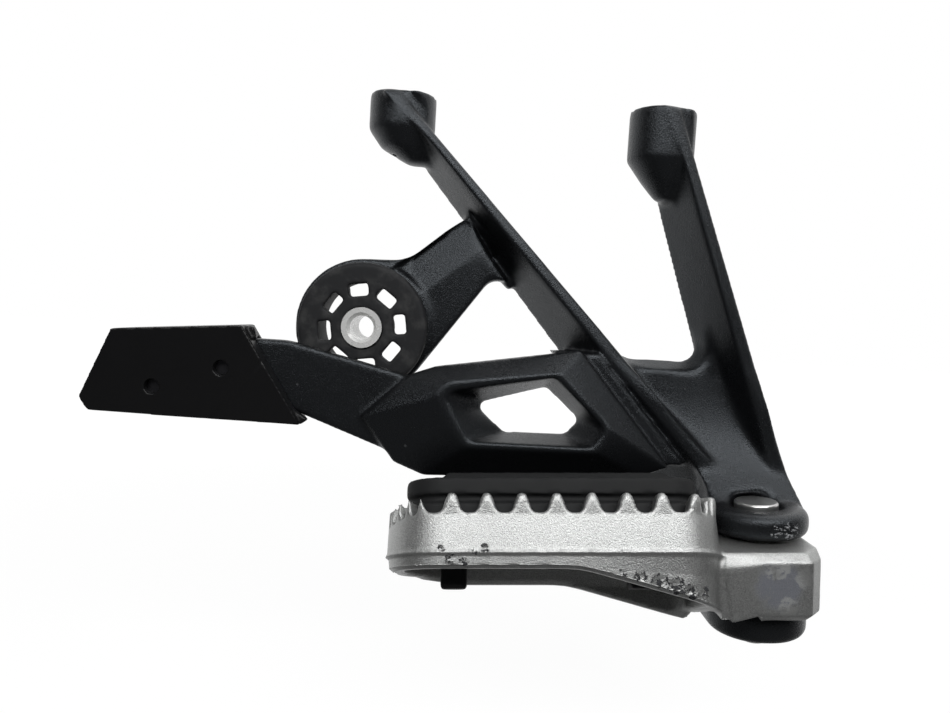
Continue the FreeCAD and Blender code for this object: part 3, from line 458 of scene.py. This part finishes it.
def cast_copy(node, name, grid, passes, blocks=()):
    """A copy of a solid, with blocks welded on, that has the soft edges of a casting."""
    piece = copy_of(node, name)
    for centre, size, turn in blocks:
        weld_block(piece, centre, size, turn)
    apply(piece, "REMESH", mode="VOXEL", voxel_size=grid)
    soften(piece, passes)
    return piece


class CastingSettings(bpy.types.PropertyGroup):
    """The black casting."""

    grid: length("Surface grid", "Mesh size of the cast surface", 0.00074)
    passes: count("Edge softening", "Smoothing passes over every edge", 9)
    blend_passes: count("Blend softening", "Smoothing passes where walls meet", 45)
    colour: tint("Coat", "Colour of the powder coat", (0.006, 0.0064, 0.0072))
    sheen: share("Sheen", "Strength of the coat's shine", 0.42)
    ridge_lean: length("Ridge lean", "How far the outer faces of the struts lean back", 0.0018)
    web_lean: length("Web lean", "How far the silencer web leans back at its top", 0.0042)
    bare: tint("Bare metal", "Colour where the coat is scuffed through", (0.52, 0.53, 0.55))
    grain: length("Grain", "Size of the coat's grain", 0.00042)
    most: count("Most triangles", "Triangles left in the casting", 196000)
    roughness: share("Roughness", "Roughness of the coat", 0.29)


class DamperSettings(bpy.types.PropertyGroup):
    """The silencer damper and its sleeve."""

    grid: length("Surface grid", "Mesh size of the rubber", 0.00045)
    passes: count("Edge softening", "Smoothing passes over the rubber", 5)
    most: count("Most triangles", "Triangles left in the rubber", 120000)
    rubber: tint("Rubber", "Colour of the rubber", (0.017, 0.0175, 0.019))
    sleeve: tint("Sleeve", "Colour of the turned sleeve", (0.78, 0.78, 0.77))
    roughness: share("Rubber roughness", "Roughness of the rubber", 0.62)


class EndPadSettings(bpy.types.PropertyGroup):
    """The plastic pad on the rear arm."""

    grid: length("Surface grid", "Mesh size of the pad", 0.0005)
    passes: count("Edge softening", "Smoothing passes over the pad", 4)
    most: count("Most triangles", "Triangles left in the pad", 100000)
    facet: length("Facet", "How far the lower corner of the face lies back", 0.0022)
    crease: length("Crease", "Depth of the line across the face", 0.0004)
    screw: tint("Screws", "Colour of the screws", (0.05, 0.05, 0.055))
    colour: tint("Plastic", "Colour of the plastic", (0.0065, 0.0065, 0.007))
    roughness: share("Roughness", "Roughness of the plastic", 0.33)


class PinSettings(bpy.types.PropertyGroup):
    """The pivot pin with its washers and clip."""

    steel: tint("Steel", "Colour of the pin", (0.60, 0.60, 0.59))
    roughness: share("Roughness", "Roughness of the brushed head", 0.34)


class FootpegSettings(bpy.types.PropertyGroup):
    """The silver footpeg."""

    grid: length("Surface grid", "Mesh size of the cast surface", 0.00055)
    passes: count("Edge softening", "Smoothing passes over every edge", 4)
    most: count("Most triangles", "Triangles left in the casting", 196000)
    tooth_swell: length("Tooth swell", "How far the teeth are rounded out", 0.0006)
    tip_passes: count("Tip softening", "Smoothing passes over the teeth at the far corner", 14)
    ledge: length("Ledge", "How far the skirt lies back below the parting line", 0.0009)
    end_drop: length("End drop", "How far the teeth fall at the tip", 0.0032)
    far_drop: length("Far drop", "How far the ring's far wall hangs lower", 0.0026)
    arch_drop: length("Arch drop", "How far the arch hangs lower beside the hub", 0.0026)
    pit_depth: length("Pits", "Depth of the scraped places", 0.0009)
    colour: tint("Silver", "Colour of the silver casting", (0.39, 0.395, 0.39))
    patch: tint("Rubbed patch", "Colour of the rubbed patch on the hub", (0.19, 0.20, 0.24))
    scar: tint("Scar", "Colour where the skin is scraped off", (0.035, 0.036, 0.04))
    sparkle: length("Sparkle", "Size of the sparkling grains", 0.0003)
    roughness: share("Roughness", "Roughness of the casting", 0.38)


class FootpegPadSettings(bpy.types.PropertyGroup):
    """The rubber pad in the footpeg."""

    grid: length("Surface grid", "Mesh size of the pad", 0.0006)
    passes: count("Edge softening", "Smoothing passes over the pad", 14)
    most: count("Most triangles", "Triangles left in the pad", 100000)
    colour: tint("Rubber", "Colour of the rubber", (0.014, 0.0145, 0.015))
    roughness: share("Roughness", "Roughness of the rubber", 0.66)


class StageSettings(bpy.types.PropertyGroup):
    """The floor, the lamps and the camera."""

    floor_drop: length("Floor drop", "How far the floor lies below the part", 0.05)
    floor_size: length("Floor size", "Side of the floor", 6.0)
    paper: tint("Paper", "Colour of the floor", (0.90, 0.90, 0.90))
    bounce: tint("Bounce", "Colour of the light that the floor sends back", (0.16, 0.16, 0.16))
    shadow: share("Shadow", "How much of the shadow shows near the part", 0.08)
    key_power: power("Key lamp", "Power of the lamp above and in front", 7.0)
    fill_power: power("Fill lamp", "Power of the lamp on the right", 0.8)
    rim_power: power("Rim lamp", "Power of the lamp overhead", 1.5)
    sky: share("Sky", "Strength of the light from all round", 0.035)
    distance: length("Camera distance", "From the lens to the plane of the bosses", 0.264)
    aside: position("Camera aside", "Sideways place of the lens", -0.01621)
    height: position("Camera height", "Height of the lens", -0.07254)
    roll: angle("Roll", "Turn of the picture", PIN_LEAN)
    pitch: angle("Pitch", "How far the camera looks down", math.radians(3.6))


def worn_spots(finish, places, fleck, soft, low, high):
    """A mask of flecks that are kept to a few places, denser towards their middles."""
    near = None
    for centre, reach in places:
        one = finish.spot(Vector(centre) * MM, reach * MM, soft)
        near = one if near is None else near | one
    return near * finish.band(fleck + 0.25 * near, low, high)


def powder_coat(look):
    """Satin black powder coat with a fine grain, rubbed edges and a few scuffs."""
    coat = Finish("satin_black_coat")
    grain = coat.noise(look.grain, detail=3.0, rough=0.6)
    cloud = coat.noise(0.014, detail=3.0)
    patchy = coat.band(coat.noise(0.004, detail=4.0), low=0.40, high=0.62)
    rubbed = coat.edges(low=0.54, high=0.66) * patchy
    fleck = coat.noise(0.0018, detail=4.0, rough=0.7, stretch=(1.0, 1.0, 2.2))
    scuff = worn_spots(coat, LUG_SCUFFS, fleck, soft=0.002, low=0.78, high=0.84)
    nick = coat.band(coat.cells(0.013), low=0.045, high=0.03)
    worn = (0.04 * rubbed) | (0.75 * scuff) | (0.08 * nick)
    coat.surface(
        base_color=coat.mixed(worn, look.colour, look.bare),
        roughness=look.roughness + 0.10 * (cloud - 0.5) + 0.14 * (grain - 0.5) - 0.05 * rubbed,
        specular_ior_level=look.sheen,
        specular_tint=COAT_SHINE,
        normal=coat.relief(grain, depth=0.00018, strength=0.9))
    return coat


def damper_rubber(look):
    """Dull moulded rubber, greyer where dust has stayed."""
    rubber = Finish("moulded_rubber")
    grain = rubber.noise(0.0005, detail=3.0, rough=0.65)
    dust = rubber.band(rubber.noise(0.006, detail=4.0, rough=0.6), low=0.45, high=0.75)
    rubber.surface(
        base_color=rubber.mixed(0.35 * dust, look.rubber, DUST),
        roughness=look.roughness + 0.14 * (rubber.noise(0.008) - 0.5) + 0.10 * dust,
        specular_ior_level=DULL_SHINE,
        normal=rubber.relief(grain, depth=0.00006, strength=0.5))
    return rubber


def turned_metal(name, colour, roughness, shine=1.0):
    """Turned or brushed metal with fine tool marks."""
    metal = Finish(name)
    grain = metal.noise(0.0002, detail=2.0, rough=0.6)
    metal.surface(
        base_color=colour, metallic=shine,
        roughness=roughness + 0.14 * (metal.noise(0.003, detail=2.0) - 0.5),
        normal=metal.relief(grain, depth=0.00001, strength=0.4))
    return metal


def smooth_plastic(look):
    """Smooth black plastic with a soft gloss."""
    plastic = Finish("smooth_black_plastic")
    grain = plastic.noise(0.0004, detail=2.0)
    cloud = plastic.noise(0.010, detail=3.0)
    plastic.surface(
        base_color=look.colour,
        roughness=look.roughness + 0.10 * (cloud - 0.5),
        specular_ior_level=DULL_SHINE,
        normal=plastic.relief(grain, depth=0.00002, strength=0.35))
    return plastic


def toned(colour, factor):
    """A colour made darker or lighter."""
    return tuple(min(1.0, factor * part) for part in colour)


def silver_casting(look):
    """Silver casting that sparkles, with dark scrapes where the skin is gone."""
    silver = Finish("sparkling_silver")
    sparkle = silver.node("ShaderNodeRGBToBW", None, {
        "Color": silver.cells(look.sparkle, output="Color")})
    grain = silver.noise(0.0004, detail=3.0, rough=0.6)
    cloud = silver.noise(0.016, detail=3.0)
    fleck = silver.noise(0.0016, detail=4.0, rough=0.7)
    scrape = worn_spots(silver, SCRAPES + CHIPS, fleck, soft=0.0016, low=0.75, high=0.81)
    blotch = silver.noise(0.004, detail=4.0, rough=0.65)
    patch = worn_spots(silver, [HUB_PATCH], blotch, soft=0.005, low=0.48, high=0.74)
    scratch = silver.noise(0.0012, detail=4.0, rough=0.7, stretch=(0.6, 1.0, 0.9))
    scuff = worn_spots(silver, HUB_SCUFFS, scratch, soft=0.002, low=0.62, high=0.72)
    tone = silver.mixed(0.75 * sparkle + 0.25 * cloud,
                        toned(look.colour, 0.66), toned(look.colour, 1.30))
    tone = silver.mixed(0.75 * patch, tone, look.patch)
    tone = silver.mixed(0.8 * scuff, tone, toned(look.colour, 1.15))
    tone = silver.mixed(scrape, tone, look.scar)
    torn = silver.relief(fleck * scrape, depth=0.0006)
    silver.surface(
        base_color=tone,
        metallic=0.88 - 0.8 * scrape - 0.4 * patch,
        roughness=look.roughness + 0.16 * (sparkle - 0.5) + 0.3 * scrape,
        normal=silver.relief(grain, depth=0.00016, strength=0.9, below=torn))
    return silver


def pad_rubber(look):
    """Dull rubber of the tread pad."""
    rubber = Finish("tread_rubber")
    grain = rubber.noise(0.0005, detail=3.0, rough=0.65)
    cloud = rubber.noise(0.009, detail=3.0)
    rubber.surface(
        base_color=look.colour,
        roughness=look.roughness + 0.14 * (cloud - 0.5),
        specular_ior_level=DULL_SHINE,
        normal=rubber.relief(grain, depth=0.00005, strength=0.5))
    return rubber


class FOOTREST_OT_casting(bpy.types.Operator):
    """Makes the black casting with its soft edges"""

    bl_idname = "footrest.casting"
    bl_label = "Casting"

    def execute(self, context):
        look = context.scene.footrest_casting
        piece = cast_copy("hanger", "hanger_casting", look.grid, look.passes, [CROTCH_BLOCK])
        side, front, level = (points_of(piece) / MM).T
        for (foot_side, foot_level), slope in RIDGES:
            aside = ((side - foot_side) * math.sin(slope)
                     + (level - foot_level) * math.cos(slope))
            crest = within(front, *RIDGE_FRONT) * ramp(level, *RIDGE_FOOT)
            crest *= within(aside, *RIDGE_ASIDE) * ramp(aside, *RIDGE_FADE)
            push(piece, "crest", crest, "Y", look.ridge_lean)
        below = (side - WEB_TOP[0]) * WEB_DOWN[0] + (level - WEB_TOP[1]) * WEB_DOWN[1]
        web = within(side, *WEB_ALONG) * ramp(level, *WEB_FOOT) * within(front, *WEB_FRONT)
        web *= ramp(below, *WEB_EDGE) * ramp(below, *WEB_FADE)
        push(piece, "web", web, "Y", look.web_lean)
        soften(piece, look.blend_passes, group_of(piece, "blends", near_to(piece, BLENDS)))
        thin_to(piece, look.most)
        settle(piece, powder_coat(look), "hanger", "hanger")
        return {"FINISHED"}


class FOOTREST_OT_damper(bpy.types.Operator):
    """Makes the silencer damper and its sleeve"""

    bl_idname = "footrest.damper"
    bl_label = "Damper"

    def execute(self, context):
        look = context.scene.footrest_damper
        piece = cast_copy("damper_rubber", "damper_disc", look.grid, look.passes)
        thin_to(piece, look.most)
        settle(piece, damper_rubber(look), "damper_rubber", "hanger")
        sleeve = turned_metal("turned_sleeve", look.sleeve, roughness=0.27, shine=0.3)
        nodes_finish(sleeve, "damper_sleeve")
        return {"FINISHED"}


class FOOTREST_OT_end_pad(bpy.types.Operator):
    """Makes the plastic pad on the rear arm and its screws"""

    bl_idname = "footrest.end_pad"
    bl_label = "End pad"

    def execute(self, context):
        look = context.scene.footrest_end_pad
        piece = cast_copy("end_pad", "end_pad_shell", look.grid, look.passes)
        side, front, level = (points_of(piece) / MM).T
        first, last = PAD_CREASE
        run = (last - first) / np.linalg.norm(last - first)
        beyond = (side - first[0]) * -run[1] + (level - first[1]) * run[0]
        face = ramp(front, *PAD_FRONT)
        push(piece, "facet", face * ramp(beyond, *FACET_FADE), "Y", look.facet)
        push(piece, "crease", face * np.exp(-(beyond / CREASE_WIDTH) ** 2), "Y", look.crease)
        thin_to(piece, look.most)
        settle(piece, smooth_plastic(look), "end_pad", "hanger")
        screw = turned_metal("blackened_steel", look.screw, roughness=0.4)
        nodes_finish(screw, "end_pad_screws")
        return {"FINISHED"}


class FOOTREST_OT_pin(bpy.types.Operator):
    """Finishes the pivot pin, its washers and its clip"""

    bl_idname = "footrest.pin"
    bl_label = "Pivot pin"

    def execute(self, context):
        look = context.scene.footrest_pin
        steel = turned_metal("brushed_steel", look.steel, look.roughness)
        nodes_finish(steel, "pivot_pin", "pin_circlip", "upper_washer", "lower_washer")
        return {"FINISHED"}


class FOOTREST_OT_footpeg(bpy.types.Operator):
    """Makes the silver footpeg"""

    bl_idname = "footrest.footpeg"
    bl_label = "Footpeg"

    def execute(self, context):
        look = context.scene.footrest_footpeg
        piece = cast_copy("footpeg", "footpeg_casting", look.grid, look.passes, [HUB_BLOCK])
        along, across, up = in_tread(points_of(piece))
        skin = within(ring_depth(along, across), *SKIN_OUTLINE)
        tip, hub, far = along - RING_LEFT, along - RING_RIGHT, across - RING_FAR
        root, parting = up - TOOTH_ROOT, up - RING_PARTING
        teeth = ramp(root, *SWELL_ROOT) * ramp(tip, *SWELL_TIP)
        push(piece, "teeth", teeth, "NORMAL", look.tooth_swell)
        worn = ramp(tip, *WORN_TIP) * ramp(far, *WORN_FAR) * ramp(root, *WORN_ROOT)
        soften(piece, look.tip_passes, group_of(piece, "worn", worn))
        push(piece, "skirt", ramp(parting, *SKIRT_PARTING) * skin, "NORMAL", -look.ledge)
        low = ramp(parting, *DROP_PARTING)
        wall = ramp(far, *WALL_FAR) * ramp(hub, *WALL_HUB) * ramp(tip, *WALL_TIP)
        push(piece, "far", wall * low, "Z", -look.far_drop)
        push(piece, "arch", within(hub, *ARCH_HUB) * low, "Z", -look.arch_drop)
        end = ramp(tip, *END_TIP) ** 2 * ramp(up, *END_PIVOT)
        push(piece, "end", end, "Z", -look.end_drop)
        pits = bpy.data.textures.new("pits", "CLOUDS")
        pits.noise_scale = PIT_GRAIN * MM
        push(piece, "pits", near_to(piece, SCRAPES + CHIPS), "NORMAL", -look.pit_depth, pits)
        thin_to(piece, look.most)
        settle(piece, silver_casting(look), "footpeg", "footpeg")
        return {"FINISHED"}


class FOOTREST_OT_footpeg_pad(bpy.types.Operator):
    """Makes the rubber pad in the footpeg"""

    bl_idname = "footrest.footpeg_pad"
    bl_label = "Footpeg pad"

    def execute(self, context):
        look = context.scene.footrest_footpeg_pad
        piece = cast_copy("footpeg_pad", "footpeg_tread", look.grid, look.passes)
        thin_to(piece, look.most)
        settle(piece, pad_rubber(look), "footpeg_pad", "footpeg")
        return {"FINISHED"}


def lamp(name, place, aim, width, height, watts):
    """A soft lamp that points at a place."""
    data = bpy.data.lights.new(name, "AREA")
    data.shape = "RECTANGLE"
    data.size = width
    data.size_y = height
    data.energy = watts
    thing = bpy.data.objects.new(name, data)
    thing.location = place
    thing.rotation_euler = (Vector(aim) - Vector(place)).to_track_quat("-Z", "Y").to_euler()
    bpy.context.scene.collection.objects.link(thing)


def make_world(look):
    """Dim even light from all round, in front of a white background."""
    world = bpy.data.worlds.new("studio_sky")
    bpy.context.scene.world = world
    world.use_nodes = True
    world.node_tree.nodes.clear()
    sky = Graph(world.node_tree)
    heading = sky.node("ShaderNodeTexCoord", output="Generated")
    behind = sky.band(sky.node("ShaderNodeSeparateXYZ", None, {0: heading}, "Y"), *SKY_BEHIND)
    white = sky.ray("Camera") | sky.ray("Transmission") | (sky.ray("Glossy") * behind)
    dim = sky.node("ShaderNodeBackground", None, {"Strength": look.sky})
    bright = sky.node("ShaderNodeBackground", None, {"Strength": 1.0, "Color": WHITE})
    sky.node("ShaderNodeOutputWorld", None, {"Surface": sky.shader_mix(white, dim, bright)})


def make_floor(look):
    """A plain pale floor that keeps a soft shadow near the part and is white far off."""
    bpy.ops.object.select_all(action="DESELECT")
    level = CAD_BOX[0][2] - look.floor_drop
    bpy.ops.mesh.primitive_plane_add(size=look.floor_size, location=(0.0, 0.0, level))
    floor = bpy.context.object
    floor.name = "floor"
    bpy.ops.object.transform_apply(location=True, rotation=True, scale=True)
    paper = Finish("pale_paper")
    tone = paper.mixed(paper.ray("Camera"), look.bounce, look.paper)
    paper.surface(base_color=tone, roughness=0.9)
    white = 1.0 - look.shadow * paper.spot((0.0, 0.0, level), SHADOW_REACH, SHADOW_FADE)
    depth = paper.node("ShaderNodeSeparateXYZ", None, {0: paper.place}, "Y")
    far = paper.band(depth, *FLOOR_BEHIND)
    seen = paper.ray("Camera") | paper.ray("Transmission") | (paper.ray("Glossy") * far)
    glow = paper.node("ShaderNodeEmission", None, {"Strength": PAPER_GLOW, "Color": WHITE})
    lit = paper.shader_mix(seen * white, Wire(paper, paper.shader.outputs[0]), glow)
    feed(paper.tree.nodes["Material Output"].inputs["Surface"], lit)
    floor.data.materials.append(paper.material)


def make_camera(look):
    """The camera where the picture was taken from."""
    data = bpy.data.cameras.new("camera")
    data.sensor_fit = "HORIZONTAL"
    data.sensor_width = SENSOR
    data.lens = PHOTO_FOCAL * SENSOR / PHOTO_WIDTH
    data.clip_start = 0.01
    camera = bpy.data.objects.new("camera", data)
    right = Vector((math.cos(look.roll), 0.0, math.sin(look.roll)))
    level = Vector((-math.sin(look.roll), 0.0, math.cos(look.roll)))
    ahead = Vector((0.0, math.cos(look.pitch), 0.0)) - level * math.sin(look.pitch)
    above = right.cross(ahead)
    turn = Matrix((right, above, -ahead)).transposed()
    lens = Matrix.Translation((look.aside, -look.distance, look.height))
    camera.matrix_world = lens @ turn.to_4x4()
    bpy.context.scene.collection.objects.link(camera)
    bpy.context.scene.camera = camera


class FOOTREST_OT_stage(bpy.types.Operator):
    """Sets the floor, the lamps, the sky and the camera"""

    bl_idname = "footrest.stage"
    bl_label = "Stage"

    def execute(self, context):
        look = context.scene.footrest_stage
        context.scene.view_settings.view_transform = "Standard"
        middle = (Vector(CAD_BOX[0]) + Vector(CAD_BOX[1])) / 2
        make_world(look)
        make_floor(look)
        for name, (offset, width, height) in LAMPS.items():
            watts = getattr(look, name.replace("lamp", "power"))
            lamp(name, middle + Vector(offset), middle, width, height, watts)
        make_camera(look)
        return {"FINISHED"}


SETTINGS = {
    "footrest_casting": CastingSettings,
    "footrest_damper": DamperSettings,
    "footrest_end_pad": EndPadSettings,
    "footrest_pin": PinSettings,
    "footrest_footpeg": FootpegSettings,
    "footrest_footpeg_pad": FootpegPadSettings,
    "footrest_stage": StageSettings,
}
OPERATORS = (
    FOOTREST_OT_stage,
    FOOTREST_OT_casting,
    FOOTREST_OT_damper,
    FOOTREST_OT_end_pad,
    FOOTREST_OT_pin,
    FOOTREST_OT_footpeg,
    FOOTREST_OT_footpeg_pad,
)


class FOOTREST_PT_pieces(bpy.types.Panel):
    """Lists the pieces and their settings"""

    bl_idname = "FOOTREST_PT_pieces"
    bl_label = "Footrest hanger"
    bl_space_type = "VIEW_3D"
    bl_region_type = "UI"
    bl_category = "Footrest"

    def draw(self, context):
        for operator in OPERATORS:
            box = self.layout.box()
            box.operator(operator.bl_idname)
            group = getattr(context.scene, operator.bl_idname.replace(".", "_"))
            for name in group.bl_rna.properties.keys():
                if name not in ("rna_type", "name"):
                    box.prop(group, name)


def register():
    for name, group in SETTINGS.items():
        bpy.utils.register_class(group)
        setattr(bpy.types.Scene, name, bpy.props.PointerProperty(type=group))
    for operator in OPERATORS:
        bpy.utils.register_class(operator)
    bpy.utils.register_class(FOOTREST_PT_pieces)


def unregister():
    bpy.utils.unregister_class(FOOTREST_PT_pieces)
    for operator in reversed(OPERATORS):
        bpy.utils.unregister_class(operator)
    for name, group in SETTINGS.items():
        delattr(bpy.types.Scene, name)
        bpy.utils.unregister_class(group)


def main():
    register()
    for operator in OPERATORS:
        section, name = operator.bl_idname.split(".")
        getattr(getattr(bpy.ops, section), name)()


if __name__ == "__main__":
    main()
